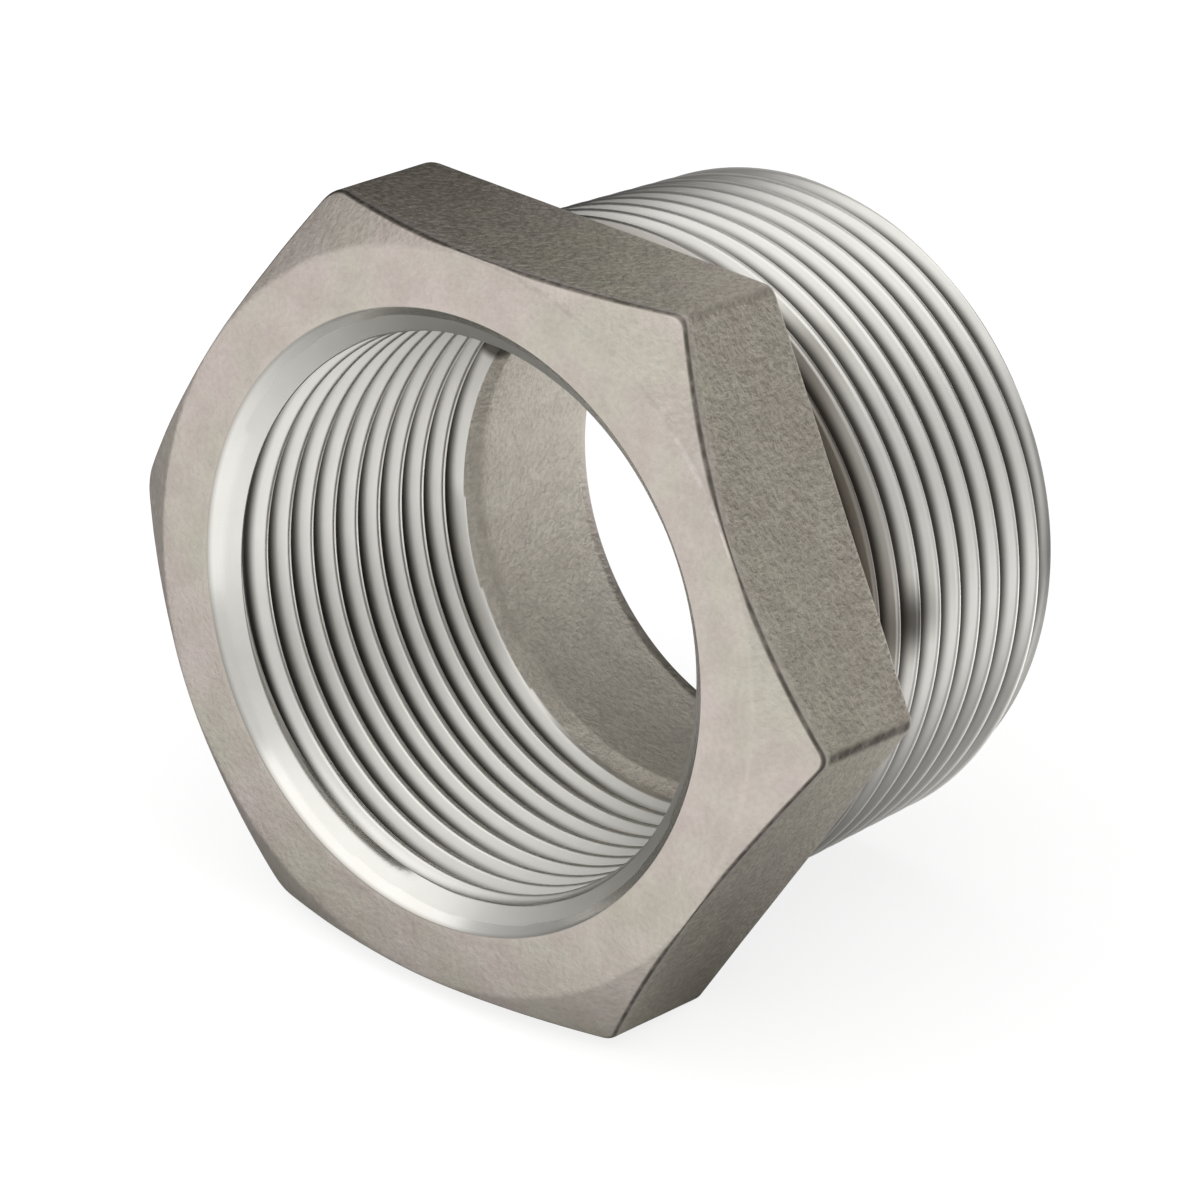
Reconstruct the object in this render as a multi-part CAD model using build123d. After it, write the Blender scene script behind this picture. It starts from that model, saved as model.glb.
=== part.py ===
"""Hex bushing, nominal pipe sizes 1 1/2 outside and 1 1/4 inside, cast stainless steel.

One casting: a hexagonal head for the spanner, a tapered male thread behind it, and a parallel
female thread that enters through the head and ends in a plain cast bore.  The two threads are
modelled at the envelope of their crests, which is what meets the mating pipe first.

The part is drawn upright, with its axis on Z and the head's face at Z = 0, and is then laid down
as it comes to rest: on the rear edge of one hexagon flat and on the end of its male thread.
All lengths are in millimetres.
"""

import math
import os

from build123d import *

os.makedirs("parts", exist_ok=True)

# Overall form
OVERALL_LENGTH = 37.0       # head's face to the end of the male thread
ACROSS_FLATS = 52.0         # spanner size of the head
HEAD_HEIGHT = 12.4          # head's face to its rear face

# Head: cast edges and the conical chamfer round its face
FACE_CIRCLE_DIAMETER = 51.6  # circle that the chamfer leaves flat on the face
FACE_CHAMFER_ANGLE = 33.5    # between the chamfer and the face, in degrees
CORNER_ROUNDING = 1.2        # the six upright edges
REAR_ROUNDING = 0.7          # round the edge of the rear face
ROOT_ROUNDING = 0.8          # where the threaded shank leaves the rear face

# Pipe thread form, the same for both threads: 11 turns to the inch
PITCH = 25.4 / 11
THREAD_DEPTH = 0.640327 * PITCH

# Male thread, R 1 1/2: a taper of 1 in 16 on diameter
MALE_GAUGE_DIAMETER = 47.803  # crest diameter in the gauge plane
MALE_GAUGE_LENGTH = 12.7      # gauge plane to the end of the thread
MALE_TAPER = 1 / 16
LEAD_IN_LENGTH = 1.2          # chamfer at the thread's end, down to its root

# Female thread, Rp 1 1/4: parallel
FEMALE_MAJOR_DIAMETER = 41.910
FEMALE_END = 24.0             # depth of the last full turn
MOUTH_DIAMETER = 43.2         # 90 degree countersink in the face

# Plain cast bore beyond the female thread
CAST_BORE_DIAMETER = 37.0
EXIT_CHAMFER = 0.4

# How far the cutting tools overrun the faces that they cut through
OVERRUN = 1.0

# Sizes that follow from the ones above
female_crest_radius = FEMALE_MAJOR_DIAMETER / 2 - THREAD_DEPTH
cast_bore_radius = CAST_BORE_DIAMETER / 2
mouth_radius = MOUTH_DIAMETER / 2
mouth_depth = mouth_radius - female_crest_radius
shoulder_end = FEMALE_END + female_crest_radius - cast_bore_radius
lead_in_start = OVERALL_LENGTH - LEAD_IN_LENGTH


def male_crest_radius(z):
    """Radius of the male thread's crests at a height above the head's face."""
    from_gauge_plane = OVERALL_LENGTH - MALE_GAUGE_LENGTH - z
    return MALE_GAUGE_DIAMETER / 2 + from_gauge_plane * MALE_TAPER / 2


def head():
    """Hexagon with cast edges, faced by a cone that trims the corners of its front."""
    with BuildPart() as block:
        with BuildSketch() as outline:
            RegularPolygon(ACROSS_FLATS / 2, 6, major_radius=False)
            fillet(outline.vertices(), CORNER_ROUNDING)
        extrude(amount=HEAD_HEIGHT)
        fillet(block.faces().sort_by(Axis.Z)[-1].edges(), REAR_ROUNDING)
        with BuildSketch(Plane.XZ):
            with BuildLine():
                face_radius = FACE_CIRCLE_DIAMETER / 2
                reach = HEAD_HEIGHT / math.tan(math.radians(FACE_CHAMFER_ANGLE))
                Polyline(
                    (0, 0),
                    (face_radius, 0),
                    (face_radius + reach, HEAD_HEIGHT),
                    (0, HEAD_HEIGHT),
                    close=True,
                )
            make_face()
        revolve(axis=Axis.Z, mode=Mode.INTERSECT)
    return block.part


def threaded_shank():
    """Tapered blank of the male thread, with a round root at the head and a lead-in."""
    root_z = HEAD_HEIGHT + ROOT_ROUNDING
    with BuildPart() as shank:
        with BuildSketch(Plane.XZ):
            with BuildLine():
                foot = (male_crest_radius(root_z) + ROOT_ROUNDING, HEAD_HEIGHT)
                top_of_root = (male_crest_radius(root_z), root_z)
                RadiusArc(foot, top_of_root, ROOT_ROUNDING)
                Polyline(
                    top_of_root,
                    (male_crest_radius(lead_in_start), lead_in_start),
                    (male_crest_radius(OVERALL_LENGTH) - THREAD_DEPTH, OVERALL_LENGTH),
                    (0, OVERALL_LENGTH),
                    (0, HEAD_HEIGHT),
                    foot,
                )
            make_face()
        revolve(axis=Axis.Z)
    return shank.part


def waterway():
    """Space inside: countersunk mouth, crests of the female thread, shoulder and cast bore."""
    exit_z = OVERALL_LENGTH
    with BuildPart() as space:
        with BuildSketch(Plane.XZ):
            with BuildLine():
                Polyline(
                    (0, -OVERRUN),
                    (mouth_radius + OVERRUN, -OVERRUN),
                    (female_crest_radius, mouth_depth),
                    (female_crest_radius, FEMALE_END),
                    (cast_bore_radius, shoulder_end),
                    (cast_bore_radius, exit_z - EXIT_CHAMFER),
                    (cast_bore_radius + EXIT_CHAMFER + OVERRUN, exit_z + OVERRUN),
                    (0, exit_z + OVERRUN),
                    close=True,
                )
            make_face()
        revolve(axis=Axis.Z)
    return space.part


def resting_tilt():
    """Angle by which the axis drops towards the thread, in degrees.

    The part lies on a line that touches the rear rounding of a flat and passes through the
    first crest of the male thread.
    """
    drop = ACROSS_FLATS / 2 - REAR_ROUNDING - male_crest_radius(lead_in_start)
    run = lead_in_start - (HEAD_HEIGHT - REAR_ROUNDING)
    return math.degrees(math.atan2(drop, run) + math.asin(REAR_ROUNDING / math.hypot(drop, run)))


def laid_down(upright):
    """The part on the ground: face towards -Y, a flat underneath, centred on the origin."""
    lying = Rot(X=-90 - resting_tilt()) * upright
    box = lying.bounding_box()
    middle = box.center()
    return Pos(-middle.X, -middle.Y, -box.min.Z) * lying


hex_bushing = laid_down(head() + threaded_shank() - waterway())
hex_bushing.label = "hex_bushing"
export_step(hex_bushing, "parts/hex_bushing.step")

print("rest tilt, degrees:", round(resting_tilt(), 3))
print("size:", hex_bushing.bounding_box().size)
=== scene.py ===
# %% [markdown]
# # A hex bushing in cast stainless steel
#
# A hex bushing reduces a pipe line: its tapered male thread screws into the larger fitting, and
# the smaller pipe screws into the female thread inside its hexagonal head.  It is one casting,
# blasted clean, in which only the two threads, the countersink and the end face are turned.
# This notebook models its true surface, with both threads cut as real helical grooves, gives
# the cast skin and the turned metal a finish each, and sets up a small studio around it.

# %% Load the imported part, which is the frame for everything below
import math

import bmesh
import bpy
import numpy as np
from mathutils import Matrix, Vector, noise


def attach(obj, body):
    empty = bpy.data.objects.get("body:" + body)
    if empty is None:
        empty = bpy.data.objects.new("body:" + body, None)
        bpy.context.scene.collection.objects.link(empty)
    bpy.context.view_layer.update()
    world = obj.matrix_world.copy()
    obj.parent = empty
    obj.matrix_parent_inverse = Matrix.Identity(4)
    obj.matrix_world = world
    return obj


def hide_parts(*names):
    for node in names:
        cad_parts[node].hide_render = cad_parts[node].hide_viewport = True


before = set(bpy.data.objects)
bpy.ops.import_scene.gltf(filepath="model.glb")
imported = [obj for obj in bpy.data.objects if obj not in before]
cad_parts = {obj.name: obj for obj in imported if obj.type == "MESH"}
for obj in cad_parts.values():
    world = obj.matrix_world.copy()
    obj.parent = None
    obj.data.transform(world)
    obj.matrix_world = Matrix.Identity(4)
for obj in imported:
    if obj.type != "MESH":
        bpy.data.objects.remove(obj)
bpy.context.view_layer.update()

# %% [markdown]
# ## Sizes
#
# The drawing's sizes come first, in millimetres, with the axis upright on Z and the head's face
# at Z = 0.  Pipe threads are standard: 11 turns to the inch, a 55 degree form, and 0.64 of the
# pitch in depth.  Everything else in the notebook is worked out from these few values.

# %% Sizes of the bushing, in millimetres
OVERALL_LENGTH = 37.0
ACROSS_FLATS = 52.0
HEAD_HEIGHT = 12.4
FACE_CIRCLE_RADIUS = 25.8
FACE_CHAMFER = math.radians(33.5)
REAR_ROUNDING = 0.7
ROOT_ROUNDING = 0.8

PITCH = 25.4 / 11
THREAD_DEPTH = 0.640327 * PITCH
THREAD_ROUNDING = 0.137329 * PITCH
FLANK_ANGLE = math.radians(27.5)

MALE_GAUGE_RADIUS = 47.803 / 2
MALE_GAUGE_LENGTH = 12.7
MALE_TAPER = 1 / 16
LEAD_IN_LENGTH = 1.2

FEMALE_CREST_RADIUS = 41.910 / 2 - THREAD_DEPTH
FEMALE_END = 24.0
MOUTH_RADIUS = 21.6
CAST_BORE_RADIUS = 18.5
EXIT_CHAMFER = 0.4

LEAD_IN_START = OVERALL_LENGTH - LEAD_IN_LENGTH
print("thread pitch and depth, mm:", round(PITCH, 3), round(THREAD_DEPTH, 3))


# %% [markdown]
# ## How it lies
#
# A bushing that is put down on its side touches the table with the rear edge of one flat and
# with the end of its male thread, so its axis drops a few degrees.  The angle follows from the
# sizes.  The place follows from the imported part: the ring at the thread's end gives the centre.

# %% From the upright drawing to the table
RING_MM = 0.01


def male_crest_radius(z):
    """Radius of the male thread's crests at a height above the head's face."""
    return MALE_GAUGE_RADIUS + (OVERALL_LENGTH - MALE_GAUGE_LENGTH - z) * MALE_TAPER / 2


def resting_tilt():
    """Angle by which the axis drops towards the thread, in radians."""
    drop = ACROSS_FLATS / 2 - REAR_ROUNDING - male_crest_radius(LEAD_IN_START)
    run = LEAD_IN_START - (HEAD_HEIGHT - REAR_ROUNDING)
    return math.atan2(drop, run) + math.asin(REAR_ROUNDING / math.hypot(drop, run))


def lay_down():
    """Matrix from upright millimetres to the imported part's metres."""
    turn = Matrix.Rotation(-math.pi / 2 - resting_tilt(), 4, "X")
    axis = turn.to_3x3() @ Vector((0, 0, 1))
    corners = [v.co * 1000 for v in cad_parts["hex_bushing"].data.vertices]
    furthest = max(c.dot(axis) for c in corners)
    ring = [c for c in corners if c.dot(axis) > furthest - RING_MM]
    middle = Vector([(min(c[k] for c in ring) + max(c[k] for c in ring)) / 2 for k in range(3)])
    place = middle - axis * OVERALL_LENGTH
    return Matrix.Scale(0.001, 4) @ Matrix.Translation(place) @ turn


LAID_DOWN = lay_down()
print("axis drops by, degrees:", round(math.degrees(resting_tilt()), 2))


# %% [markdown]
# ## The camera
#
# A long lens from the right and above shows the face, three flats, the bore and the far thread
# in one view, with little perspective, as in a catalogue.  Its place and turn are plain numbers.

# %% Camera
CAMERA_PLACE = (0.241617, -0.296034, 0.223418)
CAMERA_FORWARD = Vector((-0.561819, 0.683131, -0.466575))
CAMERA_UP = Vector((-0.315834, 0.344155, 0.884198))
LENS_MM, SENSOR_MM = 189.08, 36
NEAREST = 0.01


def place_camera():
    """Camera with its own three directions given, as its turn has a slight roll."""
    data = bpy.data.cameras.new("catalogue_camera")
    data.lens = LENS_MM
    data.sensor_width = SENSOR_MM
    data.clip_start = NEAREST
    camera = bpy.data.objects.new("catalogue_camera", data)
    back = -CAMERA_FORWARD.normalized()
    right = CAMERA_UP.cross(back).normalized()
    up = back.cross(right)
    turn = Matrix((right, up, back)).transposed().to_4x4()
    camera.matrix_world = Matrix.Translation(CAMERA_PLACE) @ turn
    bpy.context.scene.collection.objects.link(camera)
    bpy.context.scene.camera = camera


place_camera()
print("camera at, metres:", CAMERA_PLACE)


# %% [markdown]
# ## The hexagon
#
# The head is round in the way it was cast: every upright edge has a rounding, and they are
# not all the same.  A polar formula gives the distance from the axis to the outline at any
# angle, which suits a mesh that is built from sections around the axis.

# %% Outline of the head
CORNER_ROUNDINGS = {0: 1.25, 60: 1.2, 120: 1.8, 180: 2.4, 240: 2.4, 300: 1.2}
NEAR_CORNER = [0, 0.35, 0.7, 1.1, 1.6, 2.2, 3.0, 4.2]
STEPS_ALONG_FLAT = 14


def hexagon_radius(angle):
    """Distance from the axis to the hexagon's rounded outline, at an angle in radians."""
    corner = round(math.degrees(angle) / 60) * 60
    off = angle - math.radians(corner)
    rounding = CORNER_ROUNDINGS[corner % 360]
    centre = (ACROSS_FLATS / 2 - rounding) / math.cos(math.pi / 6)
    reach = math.atan2(rounding * math.sin(math.pi / 6), centre + rounding * math.cos(math.pi / 6))
    if abs(off) < reach:
        return centre * math.cos(off) + math.sqrt(rounding**2 - (centre * math.sin(off)) ** 2)
    return ACROSS_FLATS / 2 / math.cos(math.pi / 6 - abs(off))


def section_angles():
    """Angles of the sections: close together round the six corners, even along the flats."""
    along = list(np.linspace(NEAR_CORNER[-1], 30, STEPS_ALONG_FLAT)[1:])
    half = NEAR_CORNER + along
    offsets = sorted(set([-x for x in half[:-1]] + half))
    return [math.radians(corner + x) for corner in range(0, 360, 60) for x in offsets]


angles = section_angles()
print("sections around the axis:", len(angles))


# %% [markdown]
# ## Rounded edges
#
# A cast or turned edge is never knife sharp, and its rounding is what catches the light.  One
# helper draws a section's corners with an arc each.  Where two arcs would overlap, as where the
# conical chamfer shrinks to nothing in the middle of a flat, both give way in the same measure.
# Each corner also says how its edge looks, from -1 for a painted shade line to 1 for a painted
# highlight or a patch rubbed bright by handling, and which skin the surface before it has.

# %% Section corners to rounded line
ARCS_SHARE = 0.96
TINY = 1e-9


def rounded_line(corners):
    """Points along an open line of corners, with the look of their edges and their skins.

    A corner is (r, z, rounding, arc steps, steps to the next corner, edge, skin).
    """
    at = np.array([c[:2] for c in corners], float)
    run = np.diff(at, axis=0)
    length = np.hypot(*run.T)
    way = run / length[:, None]
    count = len(corners)
    turn, tangent = np.zeros(count), np.zeros(count)
    for i in range(1, count - 1):
        cross = way[i - 1][0] * way[i][1] - way[i - 1][1] * way[i][0]
        turn[i] = math.atan2(cross, way[i - 1].dot(way[i]))
        tangent[i] = corners[i][2] * math.tan(abs(turn[i]) / 2)
    give = np.minimum(1, ARCS_SHARE * length / np.maximum(tangent[:-1] + tangent[1:], TINY))
    tangent[1:-1] *= np.minimum(give[:-1], give[1:])
    points, edges, skins = [], [], []
    for i, (_, _, _, steps, spread, edge, skin) in enumerate(corners):
        if 0 < i < count - 1 and steps:
            radius = tangent[i] / math.tan(abs(turn[i]) / 2)
            side = math.copysign(1, turn[i])
            start = at[i] - way[i - 1] * tangent[i]
            centre = start + side * radius * np.array((-way[i - 1][1], way[i - 1][0]))
            for k in range(steps + 1):
                swing = turn[i] * k / steps
                spoke = start - centre
                points.append(centre + (
                    spoke[0] * math.cos(swing) - spoke[1] * math.sin(swing),
                    spoke[0] * math.sin(swing) + spoke[1] * math.cos(swing),
                ))
                edges.append(edge * math.sin(math.pi * k / steps))
                skins.append(skin)
        else:
            points.append(at[i])
            edges.append(0)
            skins.append(skin)
        if i < count - 1:
            end = at[i + 1] - way[i] * tangent[i + 1]
            for k in range(1, spread):
                points.append(points[-1] + (end - points[-1]) / (spread - k + 1))
                edges.append(0)
                skins.append(corners[i + 1][6])
    return np.array(points), np.array(edges), np.array(skins)


# %% [markdown]
# ## The thread form
#
# Both threads have the pipe thread's form: flanks at 55 degrees to each other, with a rounded
# crest and a rounded root.  The mesh follows the helix, so that crests and roots stay crisp:
# in each section, the points lie where the form's own key points cross it.

# %% One pitch of the thread, from crest to crest
ARC_POINTS = 7


def thread_form():
    """Offsets along the axis and depths below the crest, for one pitch of key points."""
    swings = np.linspace(FLANK_ANGLE - math.pi / 2, math.pi / 2 - FLANK_ANGLE, ARC_POINTS)
    along = THREAD_ROUNDING * np.sin(swings)
    below = THREAD_ROUNDING * (1 - np.cos(swings))
    return np.r_[along, along + PITCH / 2], np.r_[below, THREAD_DEPTH - below]


def thread_points(phase, start, end, angle):
    """Heights and depths of a right-hand thread's key points in one section.

    Points past either end are held at it, so every section has as many of them.
    """
    offsets, depths = thread_form()
    first = math.floor((start - phase) / PITCH) - 1
    last = math.ceil((end - phase) / PITCH) + 1
    turns = np.arange(first, last) + angle / (2 * math.pi)
    heights = (phase + PITCH * turns[:, None] + offsets[None, :]).ravel()
    return np.clip(heights, start, end), np.tile(depths, len(turns))


def smooth_step(x, start, end):
    """0 before start, 1 after end, and an even change between."""
    t = np.clip((x - start) / (end - start), 0, 1)
    return t * t * (3 - 2 * t)


print("key points in one pitch:", 2 * ARC_POINTS)


# %% [markdown]
# ## The grooves of both threads
#
# The die that cuts the male thread stops just short of the head, so its grooves grow deeper over
# the first turn.  The tap starts inside the countersink and leaves shallower and shallower
# grooves at its far end.  Each function also gives how deep every point lies in its groove,
# below the surface that the turning left, which the colour uses to paint shade into the roots.

# %% Sections of the two threads
MALE_PHASE = 36.4
MALE_START = HEAD_HEIGHT + 0.75
MALE_FULL_DEPTH = HEAD_HEIGHT + 2.1
FEMALE_PHASE = 0.28
FEMALE_START = 0.5
FIRST_TURN = (1.5, 2.6)
TAP_RUN_OUT = (23.6, 25.2)


def male_thread(angle):
    """Section of the male thread, from the head to the end face, and depths in the grooves."""
    z, depth = thread_points(MALE_PHASE, MALE_START, OVERALL_LENGTH, angle)
    depth = depth * smooth_step(z, MALE_START, MALE_FULL_DEPTH)
    lead_in = male_crest_radius(LEAD_IN_START) - (z - LEAD_IN_START) * (
        male_crest_radius(LEAD_IN_START) - male_crest_radius(OVERALL_LENGTH) + THREAD_DEPTH
    ) / LEAD_IN_LENGTH
    radius = np.minimum(male_crest_radius(z) - depth, lead_in)
    return np.c_[radius, z], np.minimum(male_crest_radius(z), lead_in) - radius


def female_thread(angle):
    """Section of the female thread, from the bore to the countersink, and groove depths."""
    z, depth = thread_points(FEMALE_PHASE, FEMALE_START, TAP_RUN_OUT[1], angle)
    depth = depth * smooth_step(z, *FIRST_TURN) * (1 - smooth_step(z, *TAP_RUN_OUT))
    shoulder = FEMALE_CREST_RADIUS + FEMALE_END - z
    shoulder = np.clip(shoulder, CAST_BORE_RADIUS, FEMALE_CREST_RADIUS)
    radius = np.maximum(MOUTH_RADIUS - z, shoulder + depth)
    return np.c_[radius, z][::-1], (radius - np.maximum(MOUTH_RADIUS - z, shoulder))[::-1]


print("points along the male and the female thread:", *(
    len(thread(0)[0]) for thread in (male_thread, female_thread)))


# %% [markdown]
# ## Skins and edges
#
# Five skins tell the finishes apart: the threads, the finer turning of the countersink and the
# end, the smooth cast face, and the coarser cast skin of the flats and of the bore, which the
# grit of the blasting reaches less and less.  Edges have painted looks of their own.  The circle
# where the chamfer leaves the face carries a painted highlight, mostly on one side, and the six
# upright edges carry painted shade lines, some darker than others.

# %% Looks of the skins and of the edges
THREAD, FACED, FACE, FLAT, BORE = range(5)
TURNED_SKINS = (THREAD, FACED)
COARSENESS = {THREAD: 1.0, FACED: 0.35, FACE: 0.5, FLAT: 1.0, BORE: 1.3}
FEMALE_SKIN_START = 0.7
BORE_SKIN_START = 23.0
SHOULDER_STEP = 0.05
UPRIGHT_EDGE_MM = 0.4
UPRIGHT_EDGES = {0: -1.0, 60: -0.4, 120: -0.4, 180: -0.2, 240: -0.2, 300: -0.35}
RUBBED_SIDE, RUBBED_SPREAD = 328, 24
RUBBED_LEAST, RUBBED_MORE = 0.12, 0.88


def upright_edge(angle):
    """How dark the painted shade line along one of the six upright edges is at this angle, from 0
    to -1.
    """
    corner = round(math.degrees(angle) / 60) * 60
    off = (angle - math.radians(corner)) * ACROSS_FLATS / 2 / UPRIGHT_EDGE_MM
    return UPRIGHT_EDGES[corner % 360] * math.exp(-off * off)


def face_rub(angle):
    """How bright the painted highlight is along the circle where the chamfer leaves the face, at
    this angle.
    """
    # Painted highlight along the face circle, strongest on one side.
    off = (math.degrees(angle) - RUBBED_SIDE) / RUBBED_SPREAD
    return RUBBED_LEAST + RUBBED_MORE * math.exp(-off * off)


def female_skins(points):
    """Skins along the female side: cast bore with its shoulder, threads, countersink."""
    radius, z = points.T
    cast = (radius < FEMALE_CREST_RADIUS - SHOULDER_STEP) & (z > BORE_SKIN_START)
    return np.where(z < FEMALE_SKIN_START, FACED, np.where(cast, BORE, THREAD))


print("darkness of the upright edges:", UPRIGHT_EDGES)


# %% [markdown]
# ## One section
#
# A section runs once around the metal: across the face, over the chamfer and down the flat,
# round the rear edge, along the male thread, over the end face, back up the cast bore and the
# female thread, and out through the countersink.

# %% Section of the bushing at one angle
MOUTH_ROUNDING = 0.12
FACE_ROUNDING = 0.9
CHAMFER_ROUNDING = 0.6
REAR_EDGE_ROUNDING = REAR_ROUNDING / math.cos(math.pi / 6)
END_ROUNDING = 0.1


def section(angle):
    """Points, edge looks, groove depths and skins once around the metal, in millimetres."""
    flat = hexagon_radius(angle)
    chamfer_z = (flat - FACE_CIRCLE_RADIUS) * math.tan(FACE_CHAMFER)
    crest = male_crest_radius(MALE_START)
    root = male_crest_radius(OVERALL_LENGTH) - THREAD_DEPTH
    # Edge values below: a painted highlight on the face circle, a painted shade line along the
    # chamfer edge, and wear on the rear edge.
    head, head_edges, head_skins = rounded_line([
        (MOUTH_RADIUS - FEMALE_START, FEMALE_START, 0, 0, 2, 0, FACED),
        (MOUTH_RADIUS, 0, MOUTH_ROUNDING, 3, 9, 0, FACED),
        (FACE_CIRCLE_RADIUS, 0, FACE_ROUNDING, 4, 4, face_rub(angle), FACE),
        (flat, chamfer_z, CHAMFER_ROUNDING, 5, 16, -1, FACE),
        (flat, HEAD_HEIGHT, REAR_EDGE_ROUNDING, 7, 3, 0.4, FLAT),
        (crest, HEAD_HEIGHT, ROOT_ROUNDING, 5, 1, 0, FLAT),
        (crest, MALE_START, 0, 0, 0, 0, THREAD),
    ])
    # Painted shade lines along the six upright edges, on the flats.
    on_flat = (head_skins == FLAT) & (head[:, 1] < HEAD_HEIGHT - REAR_ROUNDING / 2)
    head_edges = np.where(on_flat, np.minimum(head_edges, upright_edge(angle)), head_edges)
    back, back_edges, back_skins = rounded_line([
        (root, OVERALL_LENGTH, 0, 0, 5, 0, FACED),
        (CAST_BORE_RADIUS + EXIT_CHAMFER, OVERALL_LENGTH, END_ROUNDING, 2, 2, 0, FACED),
        (CAST_BORE_RADIUS, OVERALL_LENGTH - EXIT_CHAMFER, END_ROUNDING, 2, 13, 0, FACED),
        (CAST_BORE_RADIUS, TAP_RUN_OUT[1], 0, 0, 0, 0, BORE),
    ])
    male, male_depth = male_thread(angle)
    female, female_depth = female_thread(angle)
    points = np.concatenate([head[1:], male[1:], back[1:], female[1:]])
    edges = np.concatenate([
        head_edges[1:], np.zeros(len(male) - 1), back_edges[1:], np.zeros(len(female) - 1)])
    depths = np.concatenate([
        np.zeros(len(head) - 1), male_depth[1:], np.zeros(len(back) - 1), female_depth[1:]])
    skins = np.concatenate([
        head_skins[1:], np.full(len(male) - 1, THREAD),
        back_skins[1:], female_skins(female)[1:]])
    return points, edges, depths, skins


points_in_section = len(section(0)[0])
print("points in one section:", points_in_section)


# %% [markdown]
# ## The unevenness of a casting
#
# No cast surface is flat.  The cast skin is pressed in by a few hundredths of a millimetre, in
# waves of two sizes, and never out, so that the piece stays within its drawing.

# %% Cast skin: how far it lies below the drawing
WAVES = ((7.0, 0.05), (2.2, 0.025))


def sunk_skin(point, outward):
    """The point moved into the metal by the unevenness of a casting, in millimetres."""
    depth = 0
    for i, (size, height) in enumerate(WAVES):
        depth += height * (0.5 + 0.5 * noise.noise(point / size + Vector((3.1 * i, 7.7, 1.3))))
    return point - outward * depth


print("waves of the cast skin, length and height in mm:", WAVES)


# %% [markdown]
# ## From sections to one closed mesh
#
# The sections are joined like the staves of a barrel.  The last one stands at a full turn, where
# the helix has moved on by one pitch, and its points fall on those of the first, so welding them
# closes the ring.  The weld also removes the points that were held at the ends of the threads.

# %% Mesh of the bushing
WELD_MM = 0.002


def bushing_mesh():
    """The whole bushing as one closed mesh, laid down, with three values on every point."""
    columns = [(a, section(a)) for a in angles + [angles[0] + 2 * math.pi]]
    bm = bmesh.new()
    edge_look = bm.verts.layers.float.new("edge_look")
    groove = bm.verts.layers.float.new("groove")
    coarseness = bm.verts.layers.float.new("coarseness")
    grid = []
    for angle, (points, edges, depths, skins) in columns:
        column = []
        for (r, z), edge, depth, skin in zip(points, edges, depths, skins):
            vert = bm.verts.new((r * math.cos(angle), r * math.sin(angle), z))
            vert[edge_look] = edge
            vert[groove] = depth / THREAD_DEPTH
            vert[coarseness] = COARSENESS[int(skin)]
            column.append(vert)
        grid.append(column)
    for left, right, (_, (_, _, _, skins)) in zip(grid, grid[1:], columns):
        for j in range(points_in_section):
            k = (j + 1) % points_in_section
            face = bm.faces.new((left[j], left[k], right[k], right[j]))
            face.material_index = int(skins[k] in TURNED_SKINS)
            face.smooth = True
    bmesh.ops.remove_doubles(bm, verts=bm.verts, dist=WELD_MM)
    bmesh.ops.dissolve_degenerate(bm, edges=bm.edges, dist=WELD_MM / 10)
    bmesh.ops.recalc_face_normals(bm, faces=bm.faces)
    bm.normal_update()
    for vert in bm.verts:
        if all(face.material_index == 0 for face in vert.link_faces):
            vert.co = sunk_skin(vert.co, vert.normal)
    bm.transform(LAID_DOWN)
    open_edges = sum(len(edge.link_faces) != 2 for edge in bm.edges)
    mesh = bpy.data.meshes.new("hex_bushing_surface")
    bm.to_mesh(mesh)
    triangles = sum(len(face.verts) - 2 for face in bm.faces)
    print("triangles:", triangles, "edges without two faces:", open_edges)
    print("volume, cubic cm:", round(bm.calc_volume() * 1e6, 2))
    bm.free()
    return mesh


bushing = bpy.data.objects.new("bushing", bushing_mesh())
bpy.context.scene.collection.objects.link(bushing)
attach(bushing, "root")
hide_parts("hex_bushing")


# %% [markdown]
# ## Finishes
#
# Three helpers come first.  One turns the colours that people write, sRGB hex values, into the
# linear numbers that Blender mixes.  One adds a node with its settings and links, and gives
# back the socket with its result.  One starts an empty material.  The settings that come up
# again and again have names, and so have the sockets where the Mix node keeps its colours.

# %% Helpers for materials
SMOOTH = {"interpolation_type": "SMOOTHSTEP"}
COLOURS = {"data_type": "RGBA"}
TIMES = {"operation": "MULTIPLY"}
TIMES_PLUS = {"operation": "MULTIPLY_ADD"}
LARGER = {"operation": "MAXIMUM"}
ALONG = {"operation": "DOT_PRODUCT"}
APART = {"operation": "DISTANCE"}
UNDER, OVER, MIXED = 6, 7, 2
CLOUDY = 0.6


def linear(hex_colour):
    """Linear colour with full alpha from an sRGB hex value such as "#808080"."""
    channels = [int(hex_colour[k:k + 2], 16) / 255 for k in (1, 3, 5)]
    bent = [c / 12.92 if c <= 0.04045 else ((c + 0.055) / 1.055) ** 2.4 for c in channels]
    return (*bent, 1)


def add_node(tree, kind, settings=None, inputs=None, output=0):
    """One node: settings are its own values, inputs are numbers or sockets to link.

    It gives back one of its output sockets, or the node itself where output is None.
    """
    node = tree.nodes.new(kind)
    for name, value in (settings or {}).items():
        setattr(node, name, value)
    for name, value in (inputs or {}).items():
        if isinstance(value, bpy.types.NodeSocket):
            tree.links.new(value, node.inputs[name])
        else:
            node.inputs[name].default_value = value
    return node if output is None else node.outputs[output]


def new_material(name):
    """An empty node material and its tree."""
    material = bpy.data.materials.new(name)
    material.use_nodes = True
    material.node_tree.nodes.clear()
    return material, material.node_tree


print("middle grey in linear numbers:", round(linear("#808080")[0], 3))


# %% [markdown]
# ### Patterns and spots in millimetres
#
# Patterns are laid out on the upright drawing, in millimetres, because the tool's lines run
# round the axis.  One mapping node undoes the laying down, and a pattern whose features are
# some millimetres apart then has one over that size as its scale.  A single stain is a spot
# round a point of the drawing, which fades between two radii.

# %% Millimetres of the upright drawing
SPOT_SHARE = 0.85


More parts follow.
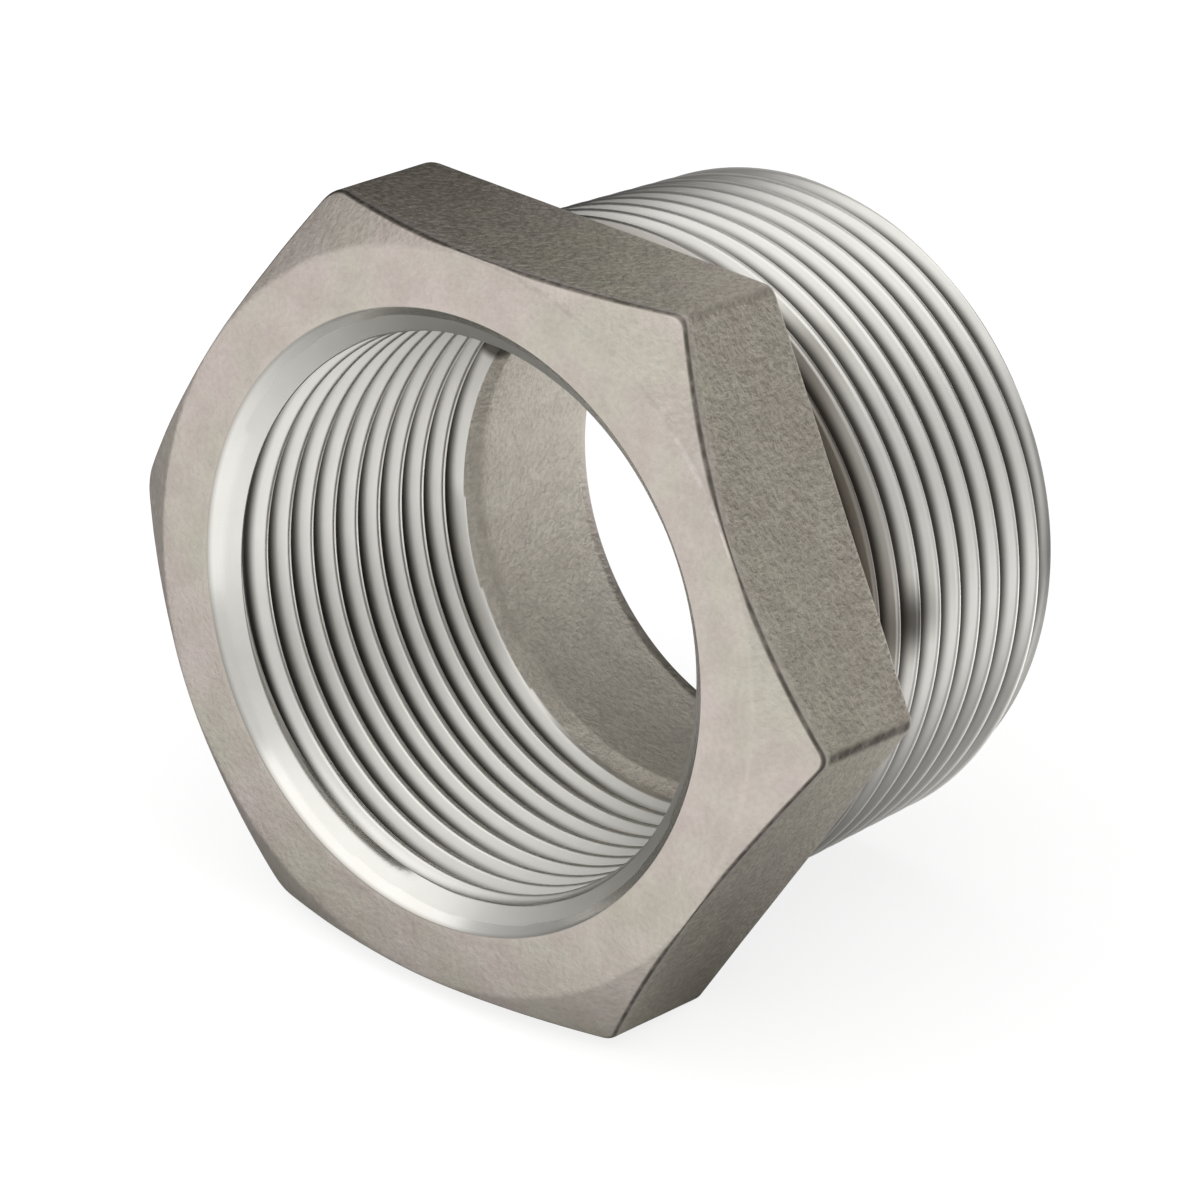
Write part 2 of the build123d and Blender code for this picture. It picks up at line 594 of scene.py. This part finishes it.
def upright_mm(tree):
    """Socket with the place on the drawing, in millimetres."""
    to_drawing = LAID_DOWN.inverted()
    place = add_node(tree, "ShaderNodeTexCoord", output="Object")
    return add_node(tree, "ShaderNodeMapping", {"vector_type": "POINT"}, {
        "Vector": place, "Location": to_drawing.to_translation(),
        "Rotation": to_drawing.to_euler(), "Scale": to_drawing.to_scale()})


def spotted(tree, place, centre, radii, under, over):
    """Colour with a round spot of another, full within the first radius, none past the next."""
    away = add_node(tree, "ShaderNodeVectorMath", APART, {0: place, 1: centre}, "Value")
    share = add_node(tree, "ShaderNodeMapRange", SMOOTH, {
        "Value": away, "From Min": radii[0], "From Max": radii[1],
        "To Min": SPOT_SHARE, "To Max": 0})
    return add_node(tree, "ShaderNodeMix", COLOURS, {
        "Factor": share, UNDER: under, OVER: linear(over)}, MIXED)


print("the drawing's axis, in the packed part:", LAID_DOWN.to_3x3().col[2].normalized()[:])


# %% [markdown]
# ### Blasted cast stainless steel: its colour
#
# Investment castings leave the shell with a fine sandy skin, and are then blasted with grit and
# pickled.  The result is a slightly warm grey.  The acid stains it faintly olive, more on the
# flats than on the face, and mottles it over a few millimetres.  Soot stays in the low places
# of the grain, which is under half a millimetre wide.  The bore is painted paler than the rest,
# as painted light that lifts its dim inside.

# %% Colour of the cast skin
GRAIN_MM = 0.42
STAIN_MM = 9.0
MOTTLE_MM = 2.6
BURR_PLACE, BURR_RADII, BURR_BROWN = (-17.3, -9.0, 24.0), (1.1, 1.9), "#3a302a"
CLOUD_RAMP = 0.3, 0.7
MOTTLE_RAMP = 0.35, 0.65
OLIVE_SHARE, MOTTLE_SHARE, SOOT_SHARE = 0.5, 0.3, 0.3


def cast_colour(tree, place, coarse, grain):
    """Colour of the cast skin, from its coarseness and its grain."""
    stain = add_node(tree, "ShaderNodeTexNoise", None, {
        "Vector": place, "Scale": 1 / STAIN_MM, "Detail": 3, "Roughness": CLOUDY})
    stain = add_node(tree, "ShaderNodeMapRange", SMOOTH, {
        "Value": stain, "From Min": CLOUD_RAMP[0], "From Max": CLOUD_RAMP[1]})
    clean = add_node(tree, "ShaderNodeMix", COLOURS, {
        "Factor": stain, UNDER: linear("#d0c5c0"), OVER: linear("#c9c5b8")}, MIXED)
    olive = add_node(tree, "ShaderNodeMapRange", SMOOTH, {
        "Value": coarse, "From Min": COARSENESS[FACE], "From Max": COARSENESS[FLAT],
        "To Max": OLIVE_SHARE})
    clean = add_node(tree, "ShaderNodeMix", COLOURS, {
        "Factor": olive, UNDER: clean, OVER: linear("#cdc8b4")}, MIXED)
    # Painted light: the bore's colour is mixed towards a paler tone, which lifts its dim inside.
    inside = add_node(tree, "ShaderNodeMapRange", SMOOTH, {
        "Value": coarse, "From Min": COARSENESS[FLAT], "From Max": COARSENESS[BORE]})
    clean = add_node(tree, "ShaderNodeMix", COLOURS, {
        "Factor": inside, UNDER: clean, OVER: linear("#efe9de")}, MIXED)
    mottle = add_node(tree, "ShaderNodeTexNoise", None, {
        "Vector": place, "Scale": 1 / MOTTLE_MM, "Detail": 4, "Roughness": CLOUDY})
    mottle = add_node(tree, "ShaderNodeMapRange", SMOOTH, {
        "Value": mottle, "From Min": MOTTLE_RAMP[0], "From Max": MOTTLE_RAMP[1],
        "To Min": MOTTLE_SHARE, "To Max": 0})
    clean = add_node(tree, "ShaderNodeMix", COLOURS, {
        "Factor": mottle, UNDER: clean, OVER: linear("#b3a69f")}, MIXED)
    soot = add_node(tree, "ShaderNodeMapRange", SMOOTH, {
        "Value": grain, "From Min": CLOUD_RAMP[0], "From Max": CLOUD_RAMP[1],
        "To Min": SOOT_SHARE, "To Max": 0})
    soot = add_node(tree, "ShaderNodeMath", TIMES, {0: soot, 1: coarse})
    return add_node(tree, "ShaderNodeMix", COLOURS, {
        "Factor": soot, UNDER: clean, OVER: linear("#6d675f")}, MIXED)


print("grain, mottle and stain, mm:", GRAIN_MM, MOTTLE_MM, STAIN_MM)


# %% [markdown]
# ### Blasted cast stainless steel: its edges
#
# Edges get painted light and wear in uneven patches: a painted highlight, or wear rubbed bright,
# where the edge value is positive, and a painted shade line, which is nowhere quite even, where it
# is negative.  The mesh says on its points which edge is which.

# %% Painted edge shade and highlight, and worn edges
RUB_MM = 2.2
LINE_SHARE, LINE_LEAST, LINE_RAMP = 0.9, 0.72, (0.3, 0.6)
PATCH_RAMP = 0.34, 0.62
RUBBED = {"operation": "MULTIPLY", "use_clamp": True}


def with_edges(tree, place, edge, colour):
    """The colour with painted shade lines where edge is negative, and painted highlights or rubbed
    patches where positive.
    """
    broken = add_node(tree, "ShaderNodeTexNoise", None, {
        "Vector": place, "Scale": 2 / RUB_MM, "Detail": 3, "Roughness": CLOUDY})
    broken = add_node(tree, "ShaderNodeMapRange", SMOOTH, {
        "Value": broken, "From Min": LINE_RAMP[0], "From Max": LINE_RAMP[1],
        "To Min": LINE_LEAST})
    # Painted shade: a dark line along the edges whose value is negative.
    line = add_node(tree, "ShaderNodeMapRange", SMOOTH, {
        "Value": edge, "From Min": 0, "From Max": -1, "To Max": LINE_SHARE})
    line = add_node(tree, "ShaderNodeMath", TIMES, {0: line, 1: broken})
    lined = add_node(tree, "ShaderNodeMix", COLOURS, {
        "Factor": line, UNDER: colour, OVER: linear("#4a443d")}, MIXED)
    patchy = add_node(tree, "ShaderNodeTexNoise", None, {
        "Vector": place, "Scale": 1 / RUB_MM, "Detail": 4, "Roughness": CLOUDY})
    patchy = add_node(tree, "ShaderNodeMapRange", SMOOTH, {
        "Value": patchy, "From Min": PATCH_RAMP[0], "From Max": PATCH_RAMP[1]})
    # Painted highlight on the face circle, and wear on the rear edge, where the value is positive.
    rubbed = add_node(tree, "ShaderNodeMath", RUBBED, {0: edge, 1: patchy})
    return add_node(tree, "ShaderNodeMix", COLOURS, {
        "Factor": rubbed, UNDER: lined, OVER: linear("#e6dfd8")}, MIXED)


print("rubbed patches, mm:", RUB_MM)


# %% [markdown]
# ### Blasted cast stainless steel: the whole finish
#
# What the eye gets is a matt metal, rough enough to lose its reflections, with the grain from
# the grit and wrinkles of about a millimetre from the shell.  The face, which the grit reaches
# best, is the smoothest.  The bore is the coarsest and dullest, and scatters a part of the
# light.  A small dark burr is left where the tap broke out.

# %% Material: blasted cast stainless steel
WRINKLE_MM = 1.3
WRINKLE_SHARE = 0.7
RELIEF_DEPTH = 0.00013
SCOURED_SHARE = 0.45
SKIN_ROUGH, BORE_ROUGH, GRAIN_ROUGH = 0.4, 0.55, 0.2
BORE_METAL = 0.8


def blasted_cast_stainless():
    """Matt, grainy metal of the head and of the bore, which is duller inside and painted paler
    there as painted light.
    """
    material, tree = new_material("blasted_cast_stainless")
    place = upright_mm(tree)
    coarse = add_node(tree, "ShaderNodeAttribute", {"attribute_name": "coarseness"}, output="Fac")
    edge = add_node(tree, "ShaderNodeAttribute", {"attribute_name": "edge_look"}, output="Fac")
    grain = add_node(tree, "ShaderNodeTexNoise", None, {
        "Vector": place, "Scale": 1 / GRAIN_MM, "Detail": 3, "Roughness": CLOUDY})
    wrinkle = add_node(tree, "ShaderNodeTexNoise", None, {
        "Vector": place, "Scale": 1 / WRINKLE_MM, "Detail": 2, "Roughness": 0.5,
        "Distortion": 0.8})
    colour = with_edges(tree, place, edge, cast_colour(tree, place, coarse, grain))
    # More painted light on the bore: its colour goes paler still.
    scoured = add_node(tree, "ShaderNodeMapRange", SMOOTH, {
        "Value": coarse, "From Min": COARSENESS[FLAT], "From Max": COARSENESS[BORE],
        "To Max": SCOURED_SHARE})
    colour = add_node(tree, "ShaderNodeMix", COLOURS, {
        "Factor": scoured, UNDER: colour, OVER: linear("#f0ebe1")}, MIXED)
    colour = spotted(tree, place, BURR_PLACE, BURR_RADII, colour, BURR_BROWN)
    relief = add_node(tree, "ShaderNodeMath", TIMES_PLUS, {
        0: wrinkle, 1: WRINKLE_SHARE, 2: grain})
    relief = add_node(tree, "ShaderNodeMath", TIMES, {0: relief, 1: coarse})
    bump = add_node(tree, "ShaderNodeBump", None, {
        "Height": relief, "Strength": 1.0, "Distance": RELIEF_DEPTH})
    rough = add_node(tree, "ShaderNodeMapRange", SMOOTH, {
        "Value": coarse, "From Min": COARSENESS[FLAT], "From Max": COARSENESS[BORE],
        "To Min": SKIN_ROUGH, "To Max": BORE_ROUGH})
    rough = add_node(tree, "ShaderNodeMath", TIMES_PLUS, {
        0: grain, 1: GRAIN_ROUGH, 2: rough})
    bare = add_node(tree, "ShaderNodeMapRange", SMOOTH, {
        "Value": coarse, "From Min": COARSENESS[FLAT], "From Max": COARSENESS[BORE],
        "To Min": 1.0, "To Max": BORE_METAL})
    shader = add_node(tree, "ShaderNodeBsdfPrincipled", None, {
        "Base Color": colour, "Metallic": bare, "Roughness": rough, "Normal": bump})
    add_node(tree, "ShaderNodeOutputMaterial", None, {"Surface": shader}, None)
    return material


bushing.data.materials.append(blasted_cast_stainless())
print("wrinkles, mm, and depth of the relief, m:", WRINKLE_MM, RELIEF_DEPTH)


# %% [markdown]
# ### Turned stainless steel: its colour
#
# The threads are cut in a lathe, which leaves a clean, pale metal.  The roots of the grooves are
# darkened as painted shade, more on the outside, and the first turns by the head are browned as
# the head's painted shadow.  One dark spot sits on the male thread, and the burr is on this side
# of the shoulder as well.

# %% Colour of the turned metal
SHEEN_MM = 2.5
OUTSIDE_RADII = (21.3, 21.8)
SOIL_FADE, SOIL_SHARE = (14.0, 20.5), 0.9
OUTSIDE_SOIL = 0.13
SMUDGE_PLACE, SMUDGE_RADII = (23.6, -3.0, 19.8), (0.3, 3.6)
OIL_START, OIL_FULL, OIL_SHARE = 0.36, 0.82, 0.92


def turned_colour(tree, place, radius, height):
    """Colour of the turned metal, from its place on the drawing and its groove."""
    sheen = add_node(tree, "ShaderNodeTexNoise", None, {
        "Vector": place, "Scale": 1 / SHEEN_MM, "Detail": 3, "Roughness": CLOUDY})
    clean = add_node(tree, "ShaderNodeMix", COLOURS, {
        "Factor": sheen, UNDER: linear("#d9d7d1"), OVER: linear("#e3e1dc")}, MIXED)
    outside = add_node(tree, "ShaderNodeMapRange", SMOOTH, {
        "Value": radius, "From Min": OUTSIDE_RADII[0], "From Max": OUTSIDE_RADII[1],
        "To Max": SOIL_SHARE})
    # Painted shadow of the head: the first turns of the male thread darken towards the head.
    by_head = add_node(tree, "ShaderNodeMapRange", SMOOTH, {
        "Value": height, "From Min": SOIL_FADE[0], "From Max": SOIL_FADE[1],
        "To Min": 1, "To Max": 0})
    by_head = add_node(tree, "ShaderNodeMath", TIMES, {0: outside, 1: by_head})
    soiled = add_node(tree, "ShaderNodeMix", COLOURS, {
        "Factor": by_head, UNDER: clean, OVER: linear("#70675c")}, MIXED)
    # A dark spot on the male thread, near the head.
    soiled = spotted(tree, place, SMUDGE_PLACE, SMUDGE_RADII, soiled, "#4b4742")
    soiled = spotted(tree, place, BURR_PLACE, BURR_RADII, soiled, BURR_BROWN)
    # Painted shade in the roots of the grooves, deeper on the male thread.
    groove = add_node(tree, "ShaderNodeAttribute", {"attribute_name": "groove"}, output="Fac")
    groove = add_node(tree, "ShaderNodeMath", TIMES_PLUS, {
        0: outside, 1: OUTSIDE_SOIL, 2: groove})
    oily = add_node(tree, "ShaderNodeMapRange", SMOOTH, {
        "Value": groove, "From Min": OIL_START, "From Max": OIL_FULL, "To Max": OIL_SHARE})
    return add_node(tree, "ShaderNodeMix", COLOURS, {
        "Factor": oily, UNDER: soiled, OVER: linear("#332e28")}, MIXED)


print("oil starts and is full at these depths of the groove:", OIL_START, OIL_FULL)


# %% [markdown]
# ### Turned stainless steel: the whole finish
#
# The tool leaves fine lines that run round with the thread, so the gloss is soft across the
# lines.  They are only hundredths of a millimetre apart, and are drawn coarser here so that
# they show: as noise that is long round the axis and short along it.  The countersink and the
# end face were turned finer than the threads and are glossier.

# %% Material: turned stainless steel
TOOL_LINE_MM = 0.14
TOOL_STREAK_MM = 5.0
TOOL_LINE_DEPTH, TOOL_LINE_STRENGTH = 0.00001, 0.3
FACED_ROUGH, THREAD_ROUGH, LINE_ROUGH = 0.18, 0.34, 0.06


def turned_stainless():
    """Clean, softly glossy metal with lines round the axis, for all that a lathe has cut."""
    material, tree = new_material("turned_stainless")
    place = upright_mm(tree)
    parts = add_node(tree, "ShaderNodeSeparateXYZ", None, {"Vector": place}, None).outputs
    across = add_node(tree, "ShaderNodeCombineXYZ", None, {"X": parts["X"], "Y": parts["Y"]})
    radius = add_node(tree, "ShaderNodeVectorMath", {"operation": "LENGTH"}, {
        0: across}, "Value")
    along = add_node(tree, "ShaderNodeMath", {"operation": "SUBTRACT"}, {
        0: parts["Z"], 1: radius})
    along = add_node(tree, "ShaderNodeMath", TIMES, {
        0: along, 1: TOOL_STREAK_MM / TOOL_LINE_MM})
    streaked = add_node(tree, "ShaderNodeCombineXYZ", None, {
        "X": parts["X"], "Y": parts["Y"], "Z": along})
    lines = add_node(tree, "ShaderNodeTexNoise", None, {
        "Vector": streaked, "Scale": 1 / TOOL_STREAK_MM, "Detail": 2, "Roughness": CLOUDY})
    colour = turned_colour(tree, place, radius, parts["Z"])
    bump = add_node(tree, "ShaderNodeBump", None, {
        "Height": lines, "Strength": TOOL_LINE_STRENGTH, "Distance": TOOL_LINE_DEPTH})
    coarse = add_node(tree, "ShaderNodeAttribute", {"attribute_name": "coarseness"}, output="Fac")
    rough = add_node(tree, "ShaderNodeMapRange", SMOOTH, {
        "Value": coarse, "From Min": COARSENESS[FACED], "From Max": COARSENESS[THREAD],
        "To Min": FACED_ROUGH, "To Max": THREAD_ROUGH})
    rough = add_node(tree, "ShaderNodeMath", TIMES_PLUS, {
        0: lines, 1: LINE_ROUGH, 2: rough})
    shader = add_node(tree, "ShaderNodeBsdfPrincipled", None, {
        "Base Color": colour, "Metallic": 1.0, "Roughness": rough, "Normal": bump})
    add_node(tree, "ShaderNodeOutputMaterial", None, {"Surface": shader}, None)
    return material


bushing.data.materials.append(turned_stainless())
print("finishes:", [m.name for m in bushing.data.materials])


# %% [markdown]
# ## The studio floor
#
# Metal shows what is around it, so the floor matters twice.  The camera sees it white, through
# Light Path, and it keeps the object's shadow.  What mirrors it sees a painted glow: none right
# under the object, which is painted shade there, bright in front and far behind, and brightest
# in a painted pool of light behind on the right.  The pool is what the thread crests and the bore
# show.

# %% Floor
FLOOR_SIZE = 4.0
FLOOR_GLOW = 0.8
MIRRORED_GLOW = 1.17
FLOOR_FRONT = Vector((0.2, -0.98, 0))
FLOOR_FADE = (0.008, 0.05)
FAR_BEHIND = (-0.08, -0.16)
POOL_PLACE, POOL_RADIUS, POOL_SHARE = Vector((0.03, 0.07, 0)), 0.085, 2.0


def floor_glow(tree):
    """Glow of the floor: full for the camera, graded for what mirrors it, else none."""
    place = add_node(tree, "ShaderNodeTexCoord", output="Object")
    forward = add_node(tree, "ShaderNodeVectorMath", ALONG, {0: place, 1: FLOOR_FRONT}, "Value")
    # For reflections the glow fades out right under the object, as painted shade there.
    front = add_node(tree, "ShaderNodeMapRange", SMOOTH, {
        "Value": forward, "From Min": FLOOR_FADE[0], "From Max": FLOOR_FADE[1]})
    # A painted pool of light behind on the right, which only reflections see.
    away = add_node(tree, "ShaderNodeVectorMath", APART, {0: place, 1: POOL_PLACE}, "Value")
    pool = add_node(tree, "ShaderNodeMapRange", SMOOTH, {
        "Value": away, "From Min": 0, "From Max": POOL_RADIUS, "To Min": POOL_SHARE, "To Max": 0})
    far = add_node(tree, "ShaderNodeMapRange", SMOOTH, {
        "Value": forward, "From Min": FAR_BEHIND[0], "From Max": FAR_BEHIND[1]})
    graded = add_node(tree, "ShaderNodeMath", LARGER, {0: front, 1: pool})
    graded = add_node(tree, "ShaderNodeMath", LARGER, {0: graded, 1: far})
    graded = add_node(tree, "ShaderNodeMath", TIMES, {0: graded, 1: MIRRORED_GLOW})
    rays = add_node(tree, "ShaderNodeLightPath", output=None).outputs
    mirrored = add_node(tree, "ShaderNodeMath", LARGER, {
        0: rays["Is Glossy Ray"], 1: rays["Is Transmission Ray"]})
    mirrored = add_node(tree, "ShaderNodeMath", TIMES, {0: mirrored, 1: graded})
    seen = add_node(tree, "ShaderNodeMath", LARGER, {0: rays["Is Camera Ray"], 1: mirrored})
    return add_node(tree, "ShaderNodeMath", TIMES, {0: seen, 1: FLOOR_GLOW})


def pale_floor():
    """A wide pale floor that takes the object's shadow and glows a little to the eye."""
    mesh = bpy.data.meshes.new("floor")
    half = FLOOR_SIZE / 2
    mesh.from_pydata([(-half, -half, 0), (half, -half, 0), (half, half, 0), (-half, half, 0)],
                     [], [(0, 1, 2, 3)])
    floor = bpy.data.objects.new("floor", mesh)
    bpy.context.scene.collection.objects.link(floor)
    material, tree = new_material("pale_floor")
    matt = add_node(tree, "ShaderNodeBsdfDiffuse", None, {"Color": linear("#9a9a9a")})
    glow = add_node(tree, "ShaderNodeEmission", None, {"Strength": floor_glow(tree)})
    both = add_node(tree, "ShaderNodeAddShader", None, {0: matt, 1: glow})
    add_node(tree, "ShaderNodeOutputMaterial", None, {"Surface": both}, None)
    mesh.materials.append(material)


pale_floor()
print("floor, metres:", FLOOR_SIZE)


# %% [markdown]
# ## The room
#
# The camera sees a white room.  The metal sees one that is bright on the side of the face and
# dims towards the back, which gives the flats of the hexagon a different tone each.

# %% World
ROOM_FRONT = Vector((0.45, -0.85, 0.0)).normalized()
ROOM_FADE = (-0.8, 0.15)
ROOM_DIM, ROOM_BRIGHT = 0.03, 0.74


def studio_room():
    """World: white to the camera, and a room that dims towards the back for the metal."""
    world = bpy.data.worlds.new("studio_room")
    world.use_nodes = True
    tree = world.node_tree
    tree.nodes.clear()
    way = add_node(tree, "ShaderNodeTexCoord", output="Generated")
    toward = add_node(tree, "ShaderNodeVectorMath", ALONG, {0: way, 1: ROOM_FRONT}, "Value")
    shade = add_node(tree, "ShaderNodeMapRange", SMOOTH, {
        "Value": toward, "From Min": ROOM_FADE[0], "From Max": ROOM_FADE[1],
        "To Min": ROOM_DIM, "To Max": ROOM_BRIGHT})
    to_camera = add_node(tree, "ShaderNodeLightPath", output="Is Camera Ray")
    strength = add_node(tree, "ShaderNodeMix", {"data_type": "FLOAT"}, {
        "Factor": to_camera, 2: shade, 3: 1.0})
    glow = add_node(tree, "ShaderNodeBackground", None, {
        "Color": (1, 1, 1, 1), "Strength": strength})
    add_node(tree, "ShaderNodeOutputWorld", None, {"Surface": glow}, None)
    bpy.context.scene.world = world


studio_room()
print("room, at the back and in front:", ROOM_DIM, ROOM_BRIGHT)


# %% [markdown]
# ## A graded card
#
# The top flat of the head runs from dark to bright along its length.  One colour of metal can
# only do so when what it mirrors changes on the way, so a photographer holds a card with a
# gradient close behind it.  Only reflections see this one.

# %% Card
CARD_WAY = Vector((-0.56, 0.76, 0.32)).normalized()
TOP_FLAT = Vector((0, -0.012, 0.052))
CARD_DISTANCE = 0.03
CARD_WIDTH, CARD_HEIGHT = 0.08, 0.045
CARD_GRADED = 0.6
CARD_DARK, CARD_BRIGHT = 0.0, 1.0


def graded_card():
    """A card close behind on the left, dark to bright, which only reflections see."""
    side = CARD_WAY.cross(Vector((0, 0, 1))).normalized()
    up = side.cross(CARD_WAY)
    middle = TOP_FLAT + CARD_WAY * CARD_DISTANCE
    across, high = side * CARD_WIDTH / 2, up * CARD_HEIGHT / 2
    mesh = bpy.data.meshes.new("graded_card")
    corners = [middle - across - high, middle + across - high,
               middle + across + high, middle - across + high]
    mesh.from_pydata(corners, [], [(0, 1, 2, 3)])
    card = bpy.data.objects.new("graded_card", mesh)
    bpy.context.scene.collection.objects.link(card)
    material, tree = new_material("graded_card")
    place = add_node(tree, "ShaderNodeTexCoord", output="Object")
    from_dark = add_node(tree, "ShaderNodeVectorMath", ALONG, {0: place, 1: side}, "Value")
    bright_end = middle.dot(side) + CARD_WIDTH / 2
    shade = add_node(tree, "ShaderNodeMapRange", SMOOTH, {
        "Value": from_dark, "From Min": bright_end - CARD_WIDTH * CARD_GRADED,
        "From Max": bright_end, "To Min": CARD_DARK, "To Max": CARD_BRIGHT})
    glow = add_node(tree, "ShaderNodeEmission", None, {"Strength": shade})
    add_node(tree, "ShaderNodeOutputMaterial", None, {"Surface": glow}, None)
    mesh.materials.append(material)
    card.visible_camera = False
    card.visible_diffuse = False
    card.visible_shadow = False


graded_card()
print("card, metres:", CARD_WIDTH, "by", CARD_HEIGHT)


# %% [markdown]
# ## The lamp
#
# One large soft lamp hangs overhead, a little to the front.  It is wide enough for the shadow
# on the floor to have no edge.

# %% Lamp and view
LAMP_PLACE, LAMP_AIM = Vector((-0.1, -0.3, 1.1)), Vector((0, 0, 0.025))
LAMP_SIZE, LAMP_WATTS = 1.8, 6.5


def key_lamp():
    """Square area lamp that looks at the object."""
    data = bpy.data.lights.new("key_lamp", "AREA")
    data.size = LAMP_SIZE
    data.energy = LAMP_WATTS
    lamp = bpy.data.objects.new("key_lamp", data)
    lamp.location = LAMP_PLACE
    lamp.rotation_euler = (LAMP_AIM - LAMP_PLACE).to_track_quat("-Z", "Y").to_euler()
    bpy.context.scene.collection.objects.link(lamp)


key_lamp()
bpy.context.scene.view_settings.view_transform = "Standard"
print("lamp, watts and metres:", LAMP_WATTS, LAMP_SIZE)
